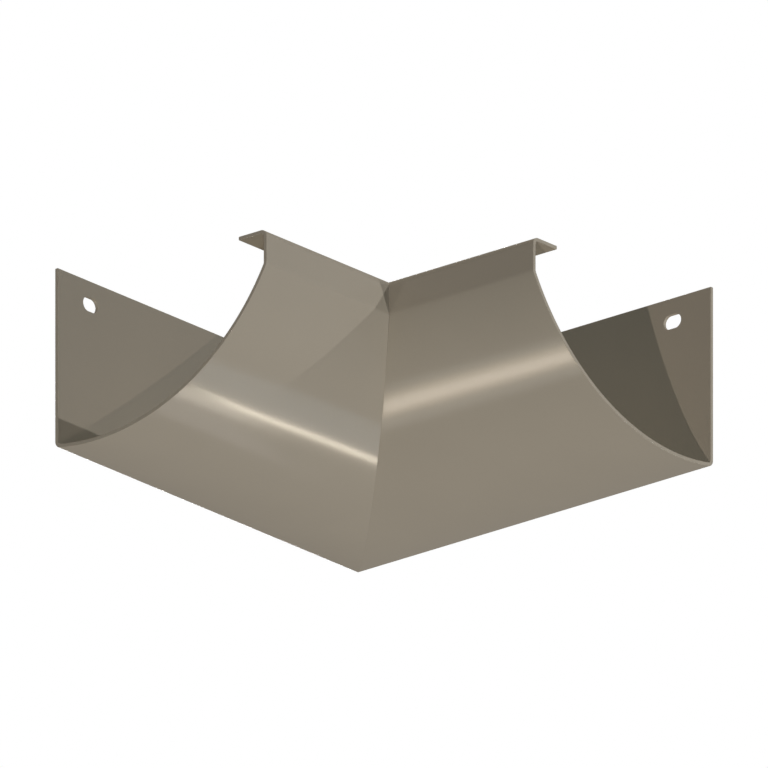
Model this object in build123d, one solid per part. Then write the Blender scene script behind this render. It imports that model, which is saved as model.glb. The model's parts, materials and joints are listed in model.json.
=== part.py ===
from build123d import *
from math import asin, degrees, sqrt
import os

# Inside mitre of a radius-front gutter, in millimetres, +Z up.
# Two equal lengths of formed sheet are cut at 45 degrees and welded flush
# along the mitre, for a re-entrant corner of a roof.
# The Z axis is the line where the two fascia boards meet. The left leg runs
# along +X with its back in the plane Y = 0, and the right leg runs along +Y
# with its back in the plane X = 0. Z = 0 is the lowest line of the troughs.

# Sheet, with the inner radius of every bend
sheet = 3.0
bend_radius = 3.0

# Section of the gutter, the same in both legs
depth = 220.0
back_height = 156.0
front_height = 136.0
band_height = 27.8
lip_width = 29.0
trough_radius = 200.0

# Length of each leg, measured along its back
leg_length = 370.0

# Fastener slot near the free end of each back
slot_length = 18.0
slot_height = 12.0
slot_from_end = 40.0
slot_from_top = 19.8

# Faces of the sheet that the bends run into
front_inner = depth - sheet
lip_underside = front_height - sheet

# Centres of the bends, as distances from the back and heights
back_bend_out = sheet + bend_radius
front_bend_out = front_inner - bend_radius
front_bend_height = front_height - band_height
lip_bend_height = lip_underside - bend_radius

# The trough's inner face touches both bends, and its outer face touches Z = 0
centre_distance = trough_radius - bend_radius
trough_centre_height = trough_radius + sheet
front_drop = trough_centre_height - front_bend_height
trough_centre_out = front_bend_out - sqrt(centre_distance**2 - front_drop**2)
back_offset = trough_centre_out - back_bend_out
back_bend_height = trough_centre_height - sqrt(centre_distance**2 - back_offset**2)


def trough_slope(bend_out):
    """Slope of the trough, in degrees, where the bend centred there runs into it."""
    return degrees(asin((bend_out - trough_centre_out) / centre_distance))


def sheet_face(outward):
    """Line of a face of the sheet, from the top of the back to the tip of the lip.

    outward is 0 for the inner face and the sheet's thickness for the outer one.
    Every bend keeps its centre, so the sheet has one thickness throughout.
    """
    radius = bend_radius + outward
    back_slope = trough_slope(back_bend_out)
    front_slope = trough_slope(front_bend_out)

    back_bend = CenterArc((back_bend_out, back_bend_height), radius, 180, 90 + back_slope)
    trough = CenterArc(
        (trough_centre_out, trough_centre_height),
        trough_radius + outward,
        270 + back_slope,
        front_slope - back_slope,
    )
    front_bend = CenterArc(
        (front_bend_out, front_bend_height), radius, 270 + front_slope, 90 - front_slope
    )
    lip_bend = CenterArc((front_bend_out, lip_bend_height), radius, 0, 90)
    back = Line((sheet - outward, back_height), back_bend @ 0)
    band = Line(front_bend @ 1, lip_bend @ 0)
    lip = Line(lip_bend @ 1, (depth - lip_width, lip_underside + outward))
    return [back, back_bend, trough, front_bend, band, lip_bend, lip]


def gutter_section():
    """Cross-section of the formed sheet: X away from the back, Y up."""
    inner = sheet_face(0)
    outer = sheet_face(sheet)
    top_edge = Line(outer[0] @ 0, inner[0] @ 0)
    lip_edge = Line(inner[-1] @ 1, outer[-1] @ 1)
    return make_face(outer + [top_edge] + inner + [lip_edge])


def make_left_leg(mitre):
    """A length of gutter along +X, with its slot, cut off at the mitre plane."""
    across = Plane(origin=(0, 0, 0), x_dir=(0, 1, 0), z_dir=(1, 0, 0))
    length = extrude(across * gutter_section(), leg_length)
    slot_place = Plane(
        origin=(leg_length - slot_from_end, 0, back_height - slot_from_top),
        x_dir=(1, 0, 0),
        z_dir=(0, -1, 0),
    )
    slot = SlotOverall(slot_length, slot_height)
    length -= extrude(slot_place * slot, 2 * sheet, both=True)
    return split(length, bisect_by=mitre, keep=Keep.TOP)


mitre_plane = Plane(origin=(0, 0, 0), z_dir=(1, -1, 0))
left_leg = make_left_leg(mitre_plane)
right_leg = mirror(left_leg, about=mitre_plane)

os.makedirs("parts", exist_ok=True)
export_step(left_leg, "parts/left_leg.step")
export_step(right_leg, "parts/right_leg.step")
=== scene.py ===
import json
from math import pi

import bpy
import numpy as np
from bpy.props import FloatProperty, FloatVectorProperty, IntProperty, PointerProperty
from mathutils import Matrix, Vector


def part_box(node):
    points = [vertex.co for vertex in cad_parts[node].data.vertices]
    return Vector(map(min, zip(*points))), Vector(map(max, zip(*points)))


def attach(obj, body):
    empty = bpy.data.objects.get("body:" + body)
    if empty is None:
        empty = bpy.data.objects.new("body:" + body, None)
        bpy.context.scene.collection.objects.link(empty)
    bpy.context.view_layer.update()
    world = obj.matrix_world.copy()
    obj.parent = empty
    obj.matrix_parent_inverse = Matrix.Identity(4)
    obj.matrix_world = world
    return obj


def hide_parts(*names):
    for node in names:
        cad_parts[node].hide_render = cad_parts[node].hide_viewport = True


# Looks of an inside-corner gutter piece: two mitred lengths of formed sheet
# in satin paint. Everything is in metres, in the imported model's own frame:
# the left leg runs along +X with its back in Y = 0, the right leg along +Y
# with its back in X = 0, and Z = 0 is the lowest line of the troughs.

bl_info = {
    "name": "Gutter Inside Miter",
    "version": (1, 0, 0),
    "blender": (4, 5, 0),
    "location": "3D View > Sidebar > Gutter",
    "description": "Builds the painted sheet of an inside-corner gutter piece, and a studio for it",
    "category": "Object",
}

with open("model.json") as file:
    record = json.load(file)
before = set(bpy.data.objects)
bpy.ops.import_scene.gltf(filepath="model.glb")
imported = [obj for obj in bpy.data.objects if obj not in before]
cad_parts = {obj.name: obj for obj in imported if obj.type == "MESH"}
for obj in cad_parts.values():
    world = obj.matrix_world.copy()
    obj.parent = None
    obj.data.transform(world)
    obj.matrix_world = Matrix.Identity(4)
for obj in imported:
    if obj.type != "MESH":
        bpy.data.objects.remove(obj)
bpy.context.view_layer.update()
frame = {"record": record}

_, leg_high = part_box("left_leg")
record = frame["record"]
slot_mount = next(mount for mount in record["mounts"] if mount["name"] == "left_slot")
paint_slot = record["materials"][0]


class GutterSizes(bpy.types.PropertyGroup):
    """Sizes of the formed sheet, the same in both legs"""

    sheet: FloatProperty(
        name="Sheet", description="Thickness of the sheet",
        default=0.003, min=0.001, unit="LENGTH", precision=4,
    )
    bend_radius: FloatProperty(
        name="Bend Radius", description="Inner radius of every small bend",
        default=0.003, min=0.001, unit="LENGTH", precision=4,
    )
    trough_radius: FloatProperty(
        name="Trough Radius", description="Inner radius of the large arc from back to front",
        default=0.200, min=0.05, unit="LENGTH", precision=4,
    )
    depth: FloatProperty(
        name="Depth", description="From the back to the face of the front band",
        default=leg_high.y, min=0.05, unit="LENGTH", precision=4,
    )
    back_height: FloatProperty(
        name="Back Height", description="Top of the back above the lowest line of the trough",
        default=leg_high.z, min=0.05, unit="LENGTH", precision=4,
    )
    front_height: FloatProperty(
        name="Front Height", description="Top of the lip above the lowest line of the trough",
        default=0.136, min=0.05, unit="LENGTH", precision=4,
    )
    band_height: FloatProperty(
        name="Band Height", description="From the front bend up to the top of the lip",
        default=0.0278, min=0.01, unit="LENGTH", precision=4,
    )
    lip_width: FloatProperty(
        name="Lip Width", description="Width of the lip that is turned in at the front",
        default=0.029, min=0.008, unit="LENGTH", precision=4,
    )
    leg_length: FloatProperty(
        name="Leg Length", description="Length of each leg, along its back",
        default=leg_high.x, min=0.1, unit="LENGTH", precision=4,
    )
    slot_length: FloatProperty(
        name="Slot Length", description="Length of the fastener slot over its round ends",
        default=slot_mount["dims"]["slot_length_mm"] / 1000, min=0.002, unit="LENGTH", precision=4,
    )
    slot_height: FloatProperty(
        name="Slot Height", description="Height of the fastener slot",
        default=2 * slot_mount["dims"]["hole_r_mm"] / 1000, min=0.002, unit="LENGTH", precision=4,
    )
    slot_from_end: FloatProperty(
        name="Slot From End", description="From the middle of the slot to the free end",
        default=leg_high.x - slot_mount["pos_m"][0], min=0.01, unit="LENGTH", precision=4,
    )
    slot_from_top: FloatProperty(
        name="Slot From Top", description="From the middle of the slot to the top of the back",
        default=leg_high.z - slot_mount["pos_m"][2], min=0.01, unit="LENGTH", precision=4,
    )
    edge_round: FloatProperty(
        name="Edge Round", description="Radius of the sheared edges of the back and the lip",
        default=0.00045, min=0.0001, unit="LENGTH", precision=5,
    )
    end_round: FloatProperty(
        name="End Round", description="Radius of the sawn edges at the free end and round the slot",
        default=0.00025, min=0.00005, unit="LENGTH", precision=5,
    )
    seam_width: FloatProperty(
        name="Seam Width", description="Half the width of the dressed weld line along the mitre",
        default=0.0003, min=0.00005, unit="LENGTH", precision=5,
    )
    seam_depth: FloatProperty(
        name="Seam Depth", description="How far the weld line sinks under the paint",
        default=0.0001, min=0.00001, unit="LENGTH", precision=5,
    )
    trough_steps: IntProperty(
        name="Trough Steps", description="Number of facets round the large arc",
        default=72, min=12, max=400,
    )
    bend_steps: IntProperty(
        name="Bend Steps", description="Number of facets in a right-angle bend",
        default=14, min=4, max=60,
    )


class PaintFinish(bpy.types.PropertyGroup):
    """Colour and finish of the coil-coated sheet"""

    colour: FloatVectorProperty(
        name="Colour", description="Colour of the paint",
        default=paint_slot["base_color"], size=3, min=0.0, max=1.0, subtype="COLOR",
    )
    tone_drift: FloatProperty(
        name="Tone Drift", description="How much the colour's brightness wanders over the sheet",
        default=0.035, min=0.0, max=1.0, subtype="FACTOR",
    )
    edge_rub: FloatProperty(
        name="Edge Rub", description="How much the paint is rubbed pale along its edges",
        default=0.18, min=0.0, max=1.0, subtype="FACTOR",
    )
    roughness: FloatProperty(
        name="Roughness", description="Roughness of the pigmented layer",
        default=0.46, min=0.0, max=1.0, subtype="FACTOR",
    )
    coat: FloatProperty(
        name="Coat", description="Strength of the clear top layer",
        default=0.10, min=0.0, max=1.0, subtype="FACTOR",
    )
    coat_roughness: FloatProperty(
        name="Coat Roughness", description="Roughness of the clear top layer",
        default=0.135, min=0.0, max=1.0, subtype="FACTOR",
    )
    peel_size: FloatProperty(
        name="Peel Size", description="Width of one swell of the paint's orange peel",
        default=0.0022, min=0.0002, unit="LENGTH", precision=4,
    )
    peel_depth: FloatProperty(
        name="Peel Depth", description="Height of the paint's orange peel",
        default=0.0000013, min=0.0, unit="LENGTH", precision=6,
    )


class StudioSetup(bpy.types.PropertyGroup):
    """Floor, backdrop and camera"""

    floor_colour: FloatVectorProperty(
        name="Floor Colour", description="Colour of the plain floor",
        default=(0.925, 0.960, 0.970), size=3, min=0.0, max=1.0, subtype="COLOR",
    )
    floor_radius: FloatProperty(
        name="Floor Radius", description="Radius of the round floor",
        default=3.0, min=0.5, unit="LENGTH",
    )
    fill: FloatProperty(
        name="Fill", description="Strength of the soft light from all round",
        default=0.0, min=0.0, max=2.0,
    )
    view_direction: FloatVectorProperty(
        name="View Direction", description="From the object towards the camera",
        default=(0.71196, 0.60580, -0.35516), size=3, subtype="DIRECTION",
    )
    view_centre: FloatVectorProperty(
        name="View Centre", description="Point that the middle of the picture shows",
        default=(0.0272, 0.0506, 0.1450), size=3, subtype="TRANSLATION", unit="LENGTH",
    )
    view_width: FloatProperty(
        name="View Width", description="Width of the picture at the object",
        default=0.60874, min=0.1, unit="LENGTH", precision=4,
    )


RIGHT_ANGLE = pi / 2
# Stands in for 0 where it would divide
TINY = 1e-9
# Facets of the rounded edges, and how far a row of support lies from an edge
ROUND_STEPS = 4
SUPPORT = 0.0004
# Cells along and up the window that is kept free round a slot, and its margin
WINDOW_CELLS = (26, 20)
WINDOW_MARGIN = 0.0045
# Rings between the slot and that window, as shares of the way out to the window
WINDOW_RINGS = (0.70, 0.42, 0.18, 0.0)
# Cells on the flat runs: the back below the window, the band and the lip
BACK_CELLS, BAND_CELLS, LIP_CELLS = 8, 4, 5
# Columns between the mitre and the square part of a leg, and past the window
MITRE_COLUMNS = 14
END_COLUMNS = 5

# Orange peel: scale and height of its grain, and scale of its patches, each
# beside its swells
GRAIN_SCALE, GRAIN_SHARE, PATCHES_SCALE = 3.1, 0.25, 0.03
# Tone drift: width of its patches, and scale and strength of its mottle, both
# beside the patches
TONE_PATCH_SIZE = 0.08
MOTTLE_SCALE, MOTTLE_SHARE = 40.0, 0.5
# A noise swings about this middle, by as much to each side
NOISE_MIDDLE = 0.5
# Scale of the breaks in the rubbed edges, per metre
RUB_SCALE = 180.0
# How much the roughness differs between the finest and the coarsest patches
ROUGHNESS_SWING = 0.10


# The sheet

def straight(start, end, shares, angle):
    """Stations on a flat run of the sheet.

    point = start + share * (end - start), and the normal keeps one angle.
    """
    start, end, shares = np.array(start), np.array(end), np.asarray(shares)
    points = start + shares[:, None] * (end - start)
    return points, np.full(len(shares), angle)


def bend(centre, radius, angle_from, angle_to, steps):
    """Stations on a bend of the sheet.

    point = centre + radius * (cos a, sin a), as the angle a of the normal
    goes evenly from one value to the other.
    """
    angles = np.linspace(angle_from, angle_to, steps + 1)
    points = np.array(centre) + radius * np.c_[np.cos(angles), np.sin(angles)]
    return points, angles


def flat_shares(length, cells):
    """Shares along a flat run: even cells, with a support row near each end.

    That row lies at SUPPORT from the end, and a quarter of the run in at most.
    """
    near = min(SUPPORT / length, 0.25)
    return np.r_[0.0, np.linspace(near, 1 - near, cells + 1), 1.0]


def section(sizes):
    """The folded sheet's section as two faces with the same stations.

    The inner face is a chain of flat runs and bends, in distance from the
    back and height. The outer face is the inner one moved out along the
    normal by the sheet's thickness, so every bend keeps one centre. At the
    top of the back and the tip of the lip both faces run into a rounded
    edge: face point + e * (sin f - 1) along the sheet and e * (1 - cos f)
    into it, as f goes from 0 to a right angle.
    Returns both faces, their normals, how much of an edge each station is,
    and the first and last station of the slot's window.
    """
    thick, radius, edge = sizes.sheet, sizes.bend_radius, sizes.edge_round
    top, front = sizes.back_height, sizes.depth - thick
    lip_under = sizes.front_height - thick
    front_out, front_up = front - radius, sizes.front_height - sizes.band_height
    reach, trough_up = sizes.trough_radius - radius, sizes.trough_radius + thick
    trough_out = front_out - np.sqrt(reach**2 - (trough_up - front_up) ** 2)
    back_out = thick + radius
    back_slope = np.arcsin((back_out - trough_out) / reach)
    front_slope = np.arcsin((front_out - trough_out) / reach)
    back_up = trough_up - reach * np.cos(back_slope)
    # Angles of the outer face's normal, which starts at pi on the back
    down, level, up = 1.5 * pi, 2.0 * pi, 2.5 * pi

    slot_up = top - sizes.slot_from_top
    window_half = sizes.slot_height / 2 + WINDOW_MARGIN
    window = top - slot_up + np.array([-window_half, window_half]) - edge
    back_length = top - edge - back_up
    back_rows = np.r_[
        0.0, SUPPORT,
        np.linspace(window[0], window[1], WINDOW_CELLS[1] + 1),
        np.linspace(window[1], back_length - SUPPORT, BACK_CELLS + 1)[1:], back_length,
    ] / back_length
    lip_length = front_out - (sizes.depth - sizes.lip_width) - edge
    band_length = lip_under - radius - front_up
    turn = sizes.bend_steps / RIGHT_ANGLE

    back_steps = round(turn * (RIGHT_ANGLE + back_slope))
    front_steps = round(turn * (RIGHT_ANGLE - front_slope))
    lip_bend_up, lip_tip = lip_under - radius, front_out - lip_length
    band_shares = flat_shares(band_length, BAND_CELLS)
    lip_shares = flat_shares(lip_length, LIP_CELLS)

    runs = [
        straight((thick, top - edge), (thick, back_up), back_rows, pi),
        bend((back_out, back_up), radius, pi, down + back_slope, back_steps),
        bend(
            (trough_out, trough_up), sizes.trough_radius,
            down + back_slope, down + front_slope, sizes.trough_steps,
        ),
        bend((front_out, front_up), radius, down + front_slope, level, front_steps),
        straight((front, front_up), (front, lip_bend_up), band_shares, level),
        bend((front_out, lip_bend_up), radius, level, up, sizes.bend_steps),
        straight((front_out, lip_under), (lip_tip, lip_under), lip_shares, up),
    ]
    inner = np.concatenate([points[:-1] for points, _ in runs[:-1]] + [runs[-1][0]])
    angles = np.concatenate([angle[:-1] for _, angle in runs[:-1]] + [runs[-1][1]])
    normal = np.c_[np.cos(angles), np.sin(angles)]
    outer = inner + thick * normal

    turned = np.linspace(0, RIGHT_ANGLE, ROUND_STEPS + 1)[1:, None]
    rounded = []
    for station, along in ((0, np.array([0.0, 1.0])), (-1, np.array([-1.0, 0.0]))):
        side = normal[station]
        ahead, inset = edge * np.sin(turned) * along, edge * (1 - np.cos(turned)) * side
        lean, face_on = np.cos(turned) * side, np.sin(turned) * along
        rounded.append((
            outer[station] + ahead - inset, inner[station] + ahead + inset,
            face_on + lean, face_on - lean,
        ))
    outer_top, inner_top, outer_top_n, inner_top_n = (rows[::-1] for rows in rounded[0])
    outer_lip, inner_lip, outer_lip_n, inner_lip_n = rounded[1]
    # The window's rows follow the rounded ones, the run's start and its support row
    first_row = ROUND_STEPS + 2
    edge_mask = np.r_[np.sin(turned[::-1, 0]), np.zeros(len(inner)), np.sin(turned[:, 0])]
    return (
        np.vstack([outer_top, outer, outer_lip]),
        np.vstack([inner_top, inner, inner_lip]),
        np.vstack([outer_top_n, normal, outer_lip_n]),
        np.vstack([inner_top_n, -normal, inner_lip_n]),
        edge_mask, (first_row, first_row + WINDOW_CELLS[1]),
    )


def columns(sizes):
    """Columns along a leg, from the mitre to the free end.

    A column's place along the leg is (1 - q) * (distance from the back + a)
    + q * b, so it follows the mitre where q is 0 and is square where q is 1.
    It is drawn into the sheet by an inset at the weld line, and by the free
    end's rounded rim: e * (1 - cos f) in and e * sin f along.
    Returns q, a, b, the inset, how much of an edge each column is, and the
    first and last column of the slot's window.
    """
    rim, length = sizes.end_round, sizes.leg_length
    slot_along = length - sizes.slot_from_end
    window_half = sizes.slot_length / 2 + WINDOW_MARGIN
    seam = sizes.seam_width
    blend = np.linspace(0, 1, MITRE_COLUMNS + 1)
    window = np.linspace(slot_along - window_half, slot_along + window_half, WINDOW_CELLS[0] + 1)
    square = np.r_[
        window,
        np.linspace(window[-1], length - rim - SUPPORT, END_COLUMNS + 1)[1:],
        length - rim + rim * np.sin(np.linspace(0, RIGHT_ANGLE, ROUND_STEPS + 1)),
    ]
    from_mitre = np.r_[0.0, seam, np.full(len(blend), seam + SUPPORT)]
    q = np.r_[0.0, 0.0, blend[:-1], np.ones(len(square))]
    a = np.r_[from_mitre[:-1], np.zeros(len(square))]
    b = np.r_[0.0, 0.0, np.full(MITRE_COLUMNS, window[0]), square]
    turned = np.linspace(0, RIGHT_ANGLE, ROUND_STEPS + 1)
    inset = np.zeros(len(q))
    inset[0] = sizes.seam_depth
    inset[-len(turned):] = rim * (1 - np.cos(turned))
    edge_mask = np.zeros(len(q))
    edge_mask[-len(turned):] = np.sin(turned)
    # The window's columns follow the two at the weld line and the mitre's
    first_column = 2 + MITRE_COLUMNS
    return q, a, b, inset, edge_mask, (first_column, first_column + WINDOW_CELLS[0])


def slot_edge(direction, straight_half, radius):
    """Distance from the middle of a round-ended slot to its edge.

    Along a direction (c, s) the edge is at radius / s where that point is on
    the flat side, and otherwise at h * c + sqrt(radius^2 - (h * s)^2), on the
    round end, with h half the length of the flat side.
    """
    c, s = np.abs(direction[:, 0]), np.abs(direction[:, 1])
    flat = radius / np.maximum(s, TINY)
    round_end = straight_half * c + np.sqrt(np.maximum(radius**2 - (straight_half * s) ** 2, 0.0))
    return np.where(flat * c <= straight_half, flat, round_end)


def grid_quads(index):
    """Quads between the neighbouring rows and columns of a grid of vertex numbers."""
    return np.stack([index[:-1, :-1], index[1:, :-1], index[1:, 1:], index[:-1, 1:]], axis=-1)


def slot_rings(sizes, window_xz):
    """Rings of points from the outer face's window, through the slot, to the inner face's.

    A ring's point = share * window point + (1 - share) * (slot's middle +
    direction * distance to the edge of a slot that is wider by a spread),
    and it lies at a depth in the sheet. The spread and the depth go round
    the rim as e * (1 - sin f) and e * (1 - cos f).
    """
    rim, thick = sizes.end_round, sizes.sheet
    middle = np.array([
        sizes.leg_length - sizes.slot_from_end, sizes.back_height - sizes.slot_from_top,
    ])
    offset = window_xz - middle
    direction = offset / np.linalg.norm(offset, axis=1)[:, None]
    turned = np.linspace(0, RIGHT_ANGLE, ROUND_STEPS + 1)
    level = np.zeros(len(WINDOW_RINGS))
    share = np.r_[WINDOW_RINGS, np.zeros(len(turned))]
    spread = np.r_[level + rim + SUPPORT / 2, rim * (1 - np.sin(turned))]
    depth = np.r_[level, rim * (1 - np.cos(turned))]
    edge_mask = np.r_[level, np.sin(turned)]
    share, spread = np.r_[share, share[::-1]], np.r_[spread, spread[::-1]]
    depth, edge_mask = np.r_[depth, thick - depth[::-1]], np.r_[edge_mask, edge_mask[::-1]]
    round_radius = sizes.slot_height / 2
    straight_half = (sizes.slot_length - sizes.slot_height) / 2
    reach = np.array([slot_edge(direction, straight_half, round_radius + s) for s in spread])
    edge_points = middle + direction * reach[:, :, None]
    xz = share[:, None, None] * window_xz + (1 - share)[:, None, None] * edge_points
    y = np.broadcast_to(depth[:, None], reach.shape)
    points = np.stack([xz[:, :, 0], y, xz[:, :, 1]], axis=-1)
    return points, np.broadcast_to(edge_mask[:, None], reach.shape)


def leg_surface(sizes):
    """The left leg's closed skin: vertices, quads, which quads are flat, and edge mask.

    The section's contour, out along the outer face and back along the inner
    one, is carried along the leg on the columns. Ladders of quads between
    the two faces close the mitre and the free end, and rings of quads line
    the slot.
    """
    outer, inner, outer_n, inner_n, row_edge, rows = section(sizes)
    q, a, b, inset, column_edge, cols = columns(sizes)
    contour = np.vstack([outer, inner[::-1]])
    normal = np.vstack([outer_n, inner_n[::-1]])
    count, stations = len(contour), len(outer)

    flat = contour[:, None, :] - inset[None, :, None] * normal[:, None, :]
    along = (1 - q) * (flat[:, :, 0] + a) + q * b
    vertices = np.stack([along, flat[:, :, 0], flat[:, :, 1]], axis=-1).reshape(-1, 3)
    edge = np.maximum(np.r_[row_edge, row_edge[::-1]][:, None], column_edge[None, :]).ravel()

    index = np.arange(count * len(q)).reshape(count, len(q))
    skin = grid_quads(np.vstack([index, index[:1]]))
    keep = np.ones(skin.shape[:2], bool)
    (r0, r1), (c0, c1) = rows, cols
    keep[r0:r1, c0:c1] = False
    keep[count - 1 - r1:count - 1 - r0, c0:c1] = False

    far = index[::-1]
    across, up = c1 - c0, r1 - r0
    perimeter = (
        np.r_[np.full(across, r0), np.arange(r0, r1), np.full(across, r1), np.arange(r1, r0, -1)],
        np.r_[np.arange(c0, c1), np.full(up, c1), np.arange(c1, c0, -1), np.full(up, c0)],
    )
    outer_ring, inner_ring = index[perimeter], far[perimeter]
    ring_points, ring_edge = slot_rings(sizes, vertices[outer_ring][:, [0, 2]])
    ring_index = len(vertices) + np.arange(ring_edge.size).reshape(ring_edge.shape)
    rings = np.vstack([outer_ring, ring_index, inner_ring])
    slot_skin = grid_quads(np.hstack([rings, rings[:, :1]])).reshape(-1, 4)

    ladder = np.stack([index[:stations], far[:stations]])
    mitre_cap = grid_quads(ladder[:, :, 0].T).reshape(-1, 4)
    end_cap = grid_quads(ladder[:, :, -1].T).reshape(-1, 4)[:, ::-1]

    vertices = np.vstack([vertices, ring_points.reshape(-1, 3)])
    edge = np.r_[edge, ring_edge.ravel()]
    quads = np.vstack([skin[keep], slot_skin, mitre_cap, end_cap])
    caps = len(mitre_cap) + len(end_cap)
    flat_quads = np.arange(len(quads)) >= len(quads) - caps
    used, quads = np.unique(quads, return_inverse=True)
    return vertices[used], quads.reshape(-1, 4), flat_quads, edge[used]


def enclosed_volume(vertices, quads):
    """Volume inside a closed skin: the sum of a . (b x c) / 6 over its triangles."""
    a, b, c, d = (vertices[quads[:, i]] for i in range(4))
    return np.sum(a * (np.cross(b, c) + np.cross(c, d))) / 6


def make_piece(name, vertices, quads, flat_quads, edge, material):
    """A mesh object at the origin from a closed skin of quads, with its edge mask."""
    mesh = bpy.data.meshes.new(name)
    mesh.from_pydata(vertices, [], quads)
    mesh.polygons.foreach_set("use_smooth", ~flat_quads)
    mask = mesh.attributes.new("edge", "FLOAT", "POINT")
    mask.data.foreach_set("value", edge.astype(np.float32))
    mesh.materials.append(material)
    mesh.update()
    piece = bpy.data.objects.new(name, mesh)
    bpy.context.scene.collection.objects.link(piece)
    return piece


# The paint

def new_group(name, inputs, outputs):
    """A shader node group with named sockets, and its input and output nodes."""
    group = bpy.data.node_groups.new(name, "ShaderNodeTree")
    for socket_name, kind, value in inputs:
        socket = group.interface.new_socket(name=socket_name, in_out="INPUT", socket_type=kind)
        if value is not None:
            socket.default_value = value
    for socket_name, kind in outputs:
        group.interface.new_socket(name=socket_name, in_out="OUTPUT", socket_type=kind)
    return group, group.nodes.new("NodeGroupInput"), group.nodes.new("NodeGroupOutput")


def math_node(tree, operation, first, second=None):
    """A Math node, each of whose inputs is a socket or a number."""
    node = tree.nodes.new("ShaderNodeMath")
    node.operation = operation
    for socket, value in zip(node.inputs, (first, second)):
        if isinstance(value, bpy.types.NodeSocket):
            tree.links.new(value, socket)
        elif value is not None:
            socket.default_value = value
    return node.outputs[0]


def noise_node(tree, vector, scale, detail):
    """A Noise Texture node on a vector, at a scale that is a socket or a number."""
    node = tree.nodes.new("ShaderNodeTexNoise")
    tree.links.new(vector, node.inputs["Vector"])
    if isinstance(scale, bpy.types.NodeSocket):
        tree.links.new(scale, node.inputs["Scale"])
    else:
        node.inputs["Scale"].default_value = scale
    node.inputs["Detail"].default_value = detail
    return node.outputs["Fac"]


def orange_peel_group():
    """Swells of a baked paint film: their height, and patches of finer and coarser film."""
    group, inside, outside = new_group(
        "Orange Peel",
        [("Vector", "NodeSocketVector", None), ("Swell Size", "NodeSocketFloat", 0.002)],
        [("Height", "NodeSocketFloat"), ("Patches", "NodeSocketFloat")],
    )
    scale = math_node(group, "DIVIDE", 1.0, inside.outputs["Swell Size"])
    swells = noise_node(group, inside.outputs["Vector"], scale, detail=1.0)
    fine_scale = math_node(group, "MULTIPLY", scale, GRAIN_SCALE)
    grain = noise_node(group, inside.outputs["Vector"], fine_scale, detail=2.0)
    height = math_node(group, "ADD", swells, math_node(group, "MULTIPLY", grain, GRAIN_SHARE))
    patch_scale = math_node(group, "MULTIPLY", scale, PATCHES_SCALE)
    patches = noise_node(group, inside.outputs["Vector"], patch_scale, detail=3.0)
    group.links.new(height, outside.inputs["Height"])
    group.links.new(patches, outside.inputs["Patches"])
    return group


def tone_drift_group():
    """A colour whose brightness wanders slowly, as a paint film's thickness does."""
    group, inside, outside = new_group(
        "Tone Drift",
        [
            ("Colour", "NodeSocketColor", None), ("Vector", "NodeSocketVector", None),
            ("Patch Size", "NodeSocketFloat", TONE_PATCH_SIZE), ("Amount", "NodeSocketFloat", 0.03),
        ],
        [("Colour", "NodeSocketColor")],
    )
    scale = math_node(group, "DIVIDE", 1.0, inside.outputs["Patch Size"])
    slow = noise_node(group, inside.outputs["Vector"], scale, detail=2.0)
    fine_scale = math_node(group, "MULTIPLY", scale, MOTTLE_SCALE)
    mottle = noise_node(group, inside.outputs["Vector"], fine_scale, detail=2.0)
    drift = math_node(group, "ADD", slow, math_node(group, "MULTIPLY", mottle, MOTTLE_SHARE))
    centred = math_node(group, "SUBTRACT", drift, NOISE_MIDDLE * (1 + MOTTLE_SHARE))
    gain = math_node(group, "MULTIPLY", inside.outputs["Amount"], 1 / NOISE_MIDDLE)
    swing = math_node(group, "MULTIPLY", centred, gain)
    shade = group.nodes.new("ShaderNodeHueSaturation")
    group.links.new(inside.outputs["Colour"], shade.inputs["Color"])
    group.links.new(math_node(group, "ADD", swing, 1.0), shade.inputs["Value"])
    group.links.new(shade.outputs["Color"], outside.inputs["Colour"])
    return group


def edge_rub_group():
    """A colour that is rubbed pale in broken stretches where the edge mask is high."""
    group, inside, outside = new_group(
        "Edge Rub",
        [
            ("Colour", "NodeSocketColor", None), ("Vector", "NodeSocketVector", None),
            ("Edge", "NodeSocketFloat", 0.0), ("Amount", "NodeSocketFloat", 0.2),
        ],
        [("Colour", "NodeSocketColor")],
    )
    broken = noise_node(group, inside.outputs["Vector"], RUB_SCALE, detail=3.0)
    rubbed = math_node(group, "MULTIPLY", inside.outputs["Edge"], broken)
    amount = math_node(group, "MULTIPLY", rubbed, inside.outputs["Amount"])
    pale = group.nodes.new("ShaderNodeHueSaturation")
    group.links.new(inside.outputs["Colour"], pale.inputs["Color"])
    group.links.new(math_node(group, "ADD", amount, 1.0), pale.inputs["Value"])
    group.links.new(pale.outputs["Color"], outside.inputs["Colour"])
    return group


def place_group(tree, group, links, values):
    """A group node in a material, with its linked inputs and its own values."""
    node = tree.nodes.new("ShaderNodeGroup")
    node.node_tree = group
    for name, socket in links.items():
        tree.links.new(socket, node.inputs[name])
    for name, value in values.items():
        node.inputs[name].default_value = value
    return node


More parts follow.
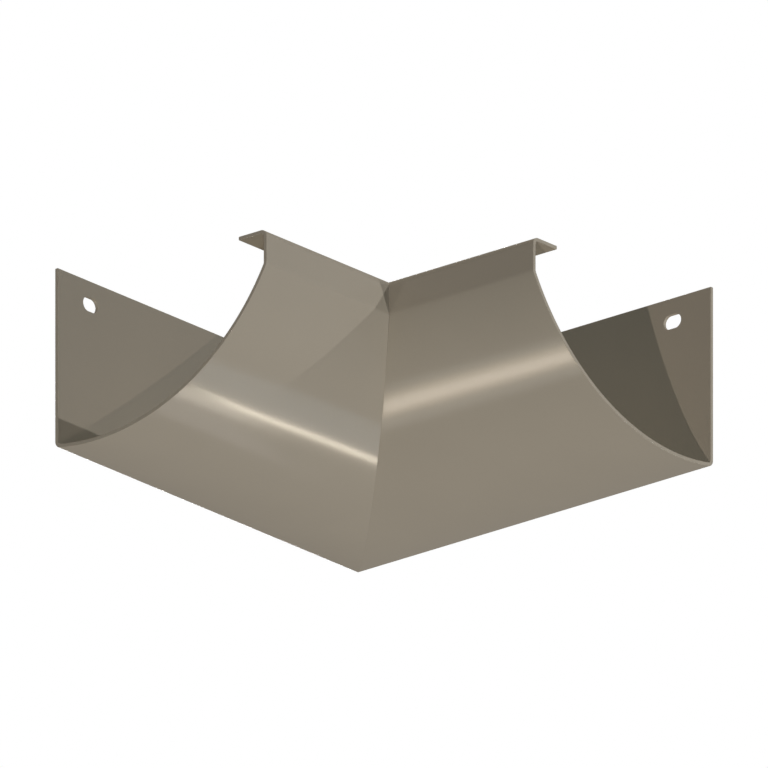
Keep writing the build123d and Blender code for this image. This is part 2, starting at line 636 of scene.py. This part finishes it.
def make_coil_coat(finish):
    """Satin bronze-grey paint on sheet: a pigmented layer under a thin clear top layer."""
    material = bpy.data.materials.new("coil_coat")
    material.use_nodes = True
    tree = material.node_tree
    shader = tree.nodes["Principled BSDF"]
    where = tree.nodes.new("ShaderNodeTexCoord").outputs["Object"]
    edge = tree.nodes.new("ShaderNodeAttribute")
    edge.attribute_name = "edge"

    toned = place_group(
        tree, tone_drift_group(), {"Vector": where},
        {
            "Colour": (*finish.colour, 1.0),
            "Patch Size": TONE_PATCH_SIZE, "Amount": finish.tone_drift,
        },
    )
    rubbed = place_group(
        tree, edge_rub_group(),
        {"Colour": toned.outputs["Colour"], "Vector": where, "Edge": edge.outputs["Fac"]},
        {"Amount": finish.edge_rub},
    )
    peel = place_group(
        tree, orange_peel_group(), {"Vector": where}, {"Swell Size": finish.peel_size},
    )
    tree.links.new(rubbed.outputs["Colour"], shader.inputs["Base Color"])

    centred = math_node(tree, "SUBTRACT", peel.outputs["Patches"], NOISE_MIDDLE)
    spread = math_node(tree, "MULTIPLY", centred, ROUGHNESS_SWING)
    rough = math_node(tree, "ADD", spread, finish.roughness)
    tree.links.new(rough, shader.inputs["Roughness"])

    bump = tree.nodes.new("ShaderNodeBump")
    bump.inputs["Distance"].default_value = finish.peel_depth
    tree.links.new(peel.outputs["Height"], bump.inputs["Height"])
    tree.links.new(bump.outputs["Normal"], shader.inputs["Normal"])

    # The pigmented layer is dull, and only the clear one shines
    shader.inputs["Specular IOR Level"].default_value = 0.0
    shader.inputs["Coat Weight"].default_value = finish.coat
    shader.inputs["Coat Roughness"].default_value = finish.coat_roughness
    return material


# The studio

# Far lamps: name, direction towards the lamp, strength, width in radians, colour,
# and whether the clear top layer shows it
FAR_LAMPS = [
    ("high_front", (-0.321, 0.823, 0.469), 1.244, 0.006, (0.886, 0.90, 1.00), True),
    ("low_left", (0.754, 0.324, -0.571), 0.925, 0.006, (1.00, 0.90, 0.90), True),
    ("low_front", (-0.335, 0.633, -0.698), 1.676, 0.006, (0.934, 0.934, 1.00), True),
    ("front", (0.687, 0.702, -0.187), 0.90, 0.006, (0.753, 0.885, 1.00), True),
    ("low_back", (0.189, -0.537, -0.823), 0.945, 0.100, (0.951, 0.97, 1.00), False),
    ("high_left", (0.440, 0.287, 0.851), 0.49, 0.100, (1.00, 0.864, 0.85), True),
    ("overhead", (-0.10, -0.12, 0.988), 1.50, 0.500, (1.00, 0.97, 0.94), True),
    ("behind", (-0.62, -0.70, 0.35), 2.60, 0.300, (1.00, 0.965, 0.93), True),
]
# Strip lamps, which only the clear top layer shows: name, place, direction that
# the back faces, long axis, length, width, watts, colour
STRIP_LAMPS = [
    ("left_strip", (-0.4819, 0.1029, -0.6622), (-0.7120, -0.0397, -0.7011),
     (0.6776, -0.3011, -0.6710), 0.150, 0.006, 2.16, (1.0, 0.888, 0.72)),
    ("left_strip_end", (-0.4294, 0.0796, -0.7142), (-0.7120, -0.0397, -0.7011),
     (0.6776, -0.3011, -0.6710), 0.035, 0.040, 0.33, (1.0, 0.91, 0.74)),
    ("left_glow", (-0.4593, 0.2318, -0.6725), (-0.7120, 0.0826, -0.6974),
     (0.6772, -0.1819, -0.7130), 0.236, 0.214, 1.13, (0.71, 0.865, 1.0)),
    ("left_end_strip", (-0.4078, 0.0251, -0.7337), (-0.7120, -0.0837, -0.6972),
     (0.6777, -0.3420, -0.6510), 0.119, 0.080, 1.066, (1.0, 0.91, 0.79)),
    ("left_end_glow", (-0.4092, -0.1046, -0.7129), (-0.7120, -0.1846, -0.6775),
     (0.6780, -0.4318, -0.5948), 0.148, 0.210, 0.555, (1.0, 0.945, 0.942)),
    ("right_strip", (0.4294, -0.3243, -0.7090), (0.2552, -0.6058, -0.7536),
     (-0.0096, 0.7778, -0.6285), 0.270, 0.078, 2.25, (1.0, 0.90, 0.82)),
    ("right_soft_strip", (0.4337, -0.3080, -0.7205), (0.2592, -0.6058, -0.7522),
     (-0.0064, 0.7778, -0.6286), 0.270, 0.157, 3.60, (1.0, 0.79, 0.53)),
    ("right_glow", (0.4207, -0.3243, -0.7123), (0.2473, -0.6058, -0.7562),
     (-0.0162, 0.7778, -0.6284), 0.270, 0.303, 2.48, (1.0, 0.98, 0.92)),
]
WHITE = (1.0, 1.0, 1.0, 1.0)
# How far the far lamps and the camera hang from the origin and the view's centre
LAMP_DISTANCE, CAMERA_DISTANCE = 2.0, 1.5
# The floor's facets, its gap under the trough, and its dull finish
FLOOR_SPOKES, FLOOR_RINGS = 64, 8
FLOOR_GAP = 0.0008
FLOOR_ROUGHNESS, FLOOR_SPECULAR = 0.9, 0.1


def aim(towards):
    """Turn of a lamp or camera that looks back along a direction."""
    return Vector(towards).to_track_quat("Z", "Y").to_euler()


def hang(name, data, turn, place):
    """The object of a lamp or camera, hung in its place."""
    holder = bpy.data.objects.new(name, data)
    holder.rotation_euler = turn
    holder.location = place
    bpy.context.scene.collection.objects.link(holder)
    return holder


def make_lamps():
    """Far lamps that light the object, and near strips that draw its highlights."""
    for name, towards, strength, width, colour, shown in FAR_LAMPS:
        lamp = bpy.data.lights.new(name, "SUN")
        lamp.energy, lamp.angle, lamp.color = strength, width, colour
        holder = hang(name, lamp, aim(towards), LAMP_DISTANCE * Vector(towards))
        holder.visible_glossy = shown
    for name, place, towards, axis, length, width, watts, colour in STRIP_LAMPS:
        lamp = bpy.data.lights.new(name, "AREA")
        lamp.shape, lamp.size, lamp.size_y = "RECTANGLE", length, width
        lamp.energy, lamp.color = watts, colour
        z = Vector(towards).normalized()
        x = (Vector(axis) - z * z.dot(Vector(axis))).normalized()
        turn = Matrix((x, z.cross(x), z)).transposed().to_euler()
        hang(name, lamp, turn, place).visible_diffuse = False


def seen_directly(tree):
    """1 for what the camera sees, itself or through a reflection or glass, and 0 for light."""
    path = tree.nodes.new("ShaderNodeLightPath").outputs
    seen = math_node(tree, "MAXIMUM", path["Is Camera Ray"], path["Is Glossy Ray"])
    return math_node(tree, "MAXIMUM", seen, path["Is Transmission Ray"])


def make_world(studio):
    """A world that is white to the camera and to reflections, and lights with its fill alone."""
    world = bpy.data.worlds.new("backdrop")
    world.use_nodes = True
    tree = world.node_tree
    backdrop = tree.nodes["Background"]
    backdrop.inputs["Color"].default_value = WHITE
    fill = tree.nodes.new("ShaderNodeBackground")
    fill.inputs["Color"].default_value = WHITE
    fill.inputs["Strength"].default_value = studio.fill
    mix = tree.nodes.new("ShaderNodeMixShader")
    tree.links.new(seen_directly(tree), mix.inputs["Fac"])
    tree.links.new(fill.outputs[0], mix.inputs[1])
    tree.links.new(backdrop.outputs[0], mix.inputs[2])
    tree.links.new(mix.outputs[0], tree.nodes["World Output"].inputs["Surface"])
    bpy.context.scene.world = world


def make_floor_paint(studio):
    """Plain pale floor that the camera sees from above, with the object's shadow.

    From below it is clear, for the low camera, and so it is for light and
    reflections, which pass on to the lamps and to the white backdrop.
    """
    material = bpy.data.materials.new("pale_floor")
    material.use_nodes = True
    tree = material.node_tree
    shader = tree.nodes["Principled BSDF"]
    shader.inputs["Base Color"].default_value = (*studio.floor_colour, 1.0)
    shader.inputs["Roughness"].default_value = FLOOR_ROUGHNESS
    shader.inputs["Specular IOR Level"].default_value = FLOOR_SPECULAR
    clear = tree.nodes.new("ShaderNodeBsdfTransparent")
    path = tree.nodes.new("ShaderNodeLightPath").outputs
    behind = tree.nodes.new("ShaderNodeNewGeometry").outputs["Backfacing"]
    front = math_node(tree, "SUBTRACT", 1.0, behind)
    mix = tree.nodes.new("ShaderNodeMixShader")
    tree.links.new(math_node(tree, "MULTIPLY", path["Is Camera Ray"], front), mix.inputs["Fac"])
    tree.links.new(clear.outputs[0], mix.inputs[1])
    tree.links.new(shader.outputs[0], mix.inputs[2])
    tree.links.new(mix.outputs[0], tree.nodes["Material Output"].inputs["Surface"])
    return material


def make_floor(studio):
    """A round floor just under the trough: radius * (cos a, sin a) on rings and spokes."""
    angle = np.linspace(0, 2 * pi, FLOOR_SPOKES, endpoint=False)
    radius = studio.floor_radius * np.linspace(0, 1, FLOOR_RINGS + 1)[1:]
    rim = radius[:, None, None] * np.stack([np.cos(angle), np.sin(angle)], axis=-1)
    points = np.vstack([[0.0, 0.0], rim.reshape(-1, 2)])
    vertices = np.c_[points, np.full(len(points), -FLOOR_GAP)]
    index = 1 + np.arange(FLOOR_SPOKES * FLOOR_RINGS).reshape(FLOOR_RINGS, FLOOR_SPOKES)
    index = np.hstack([index, index[:, :1]])
    quads = grid_quads(index).reshape(-1, 4)
    fan = np.c_[np.zeros(FLOOR_SPOKES, int), index[0, :-1], index[0, 1:]]
    mesh = bpy.data.meshes.new("floor")
    mesh.from_pydata(vertices, [], quads.tolist() + fan.tolist())
    mesh.materials.append(make_floor_paint(studio))
    floor = bpy.data.objects.new("floor", mesh)
    bpy.context.scene.collection.objects.link(floor)
    return floor


def make_camera(studio):
    """A camera without perspective that looks up at the corner from in front."""
    towards = Vector(studio.view_direction).normalized()
    data = bpy.data.cameras.new("camera")
    data.type = "ORTHO"
    data.ortho_scale = studio.view_width
    place = Vector(studio.view_centre) + CAMERA_DISTANCE * towards
    bpy.context.scene.camera = hang("camera", data, aim(towards), place)


# The operators and the panel

class GUTTER_OT_make_legs(bpy.types.Operator):
    """Make the two painted legs in place of the plain solids"""

    bl_idname = "gutter.make_legs"
    bl_label = "Make Legs"
    bl_options = {"REGISTER", "UNDO"}

    def execute(self, context):
        sizes = context.scene.gutter_sizes
        paint = make_coil_coat(context.scene.gutter_finish)
        vertices, quads, flat_quads, edge = leg_surface(sizes)
        if enclosed_volume(vertices, quads) <= 0:
            raise RuntimeError("the leg's skin is inside out")
        left = make_piece("left_leg_sheet", vertices, quads, flat_quads, edge, paint)
        # The right leg is the left one with X and Y changed over, which turns every quad round
        across, turned = vertices[:, [1, 0, 2]], quads[:, ::-1]
        right = make_piece("right_leg_sheet", across, turned, flat_quads, edge, paint)
        for piece, node in ((left, "left_leg"), (right, "right_leg")):
            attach(piece, "root")
            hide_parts(node)
        return {"FINISHED"}


class GUTTER_OT_make_studio(bpy.types.Operator):
    """Make the floor, backdrop, lamps and camera"""

    bl_idname = "gutter.make_studio"
    bl_label = "Make Studio"
    bl_options = {"REGISTER", "UNDO"}

    def execute(self, context):
        studio = context.scene.gutter_studio
        make_floor(studio)
        make_world(studio)
        make_lamps()
        make_camera(studio)
        context.scene.view_settings.view_transform = "Standard"
        return {"FINISHED"}


class GUTTER_PT_panel(bpy.types.Panel):
    """Sizes, finish and studio of the gutter piece"""

    bl_idname = "GUTTER_PT_panel"
    bl_label = "Gutter Inside Miter"
    bl_space_type = "VIEW_3D"
    bl_region_type = "UI"
    bl_category = "Gutter"

    def draw(self, context):
        scene = context.scene
        for title, settings, operator in (
            ("Sheet", scene.gutter_sizes, GUTTER_OT_make_legs.bl_idname),
            ("Paint", scene.gutter_finish, None),
            ("Studio", scene.gutter_studio, GUTTER_OT_make_studio.bl_idname),
        ):
            box = self.layout.box()
            box.label(text=title)
            for name in settings.__annotations__:
                box.prop(settings, name)
            if operator:
                box.operator(operator)


CLASSES = (
    GutterSizes, PaintFinish, StudioSetup,
    GUTTER_OT_make_legs, GUTTER_OT_make_studio, GUTTER_PT_panel,
)


def register():
    for cls in CLASSES:
        bpy.utils.register_class(cls)
    bpy.types.Scene.gutter_sizes = PointerProperty(type=GutterSizes)
    bpy.types.Scene.gutter_finish = PointerProperty(type=PaintFinish)
    bpy.types.Scene.gutter_studio = PointerProperty(type=StudioSetup)


def unregister():
    del bpy.types.Scene.gutter_studio
    del bpy.types.Scene.gutter_finish
    del bpy.types.Scene.gutter_sizes
    for cls in reversed(CLASSES):
        bpy.utils.unregister_class(cls)


def main():
    register()
    bpy.ops.gutter.make_legs()
    bpy.ops.gutter.make_studio()


if __name__ == "__main__":
    main()
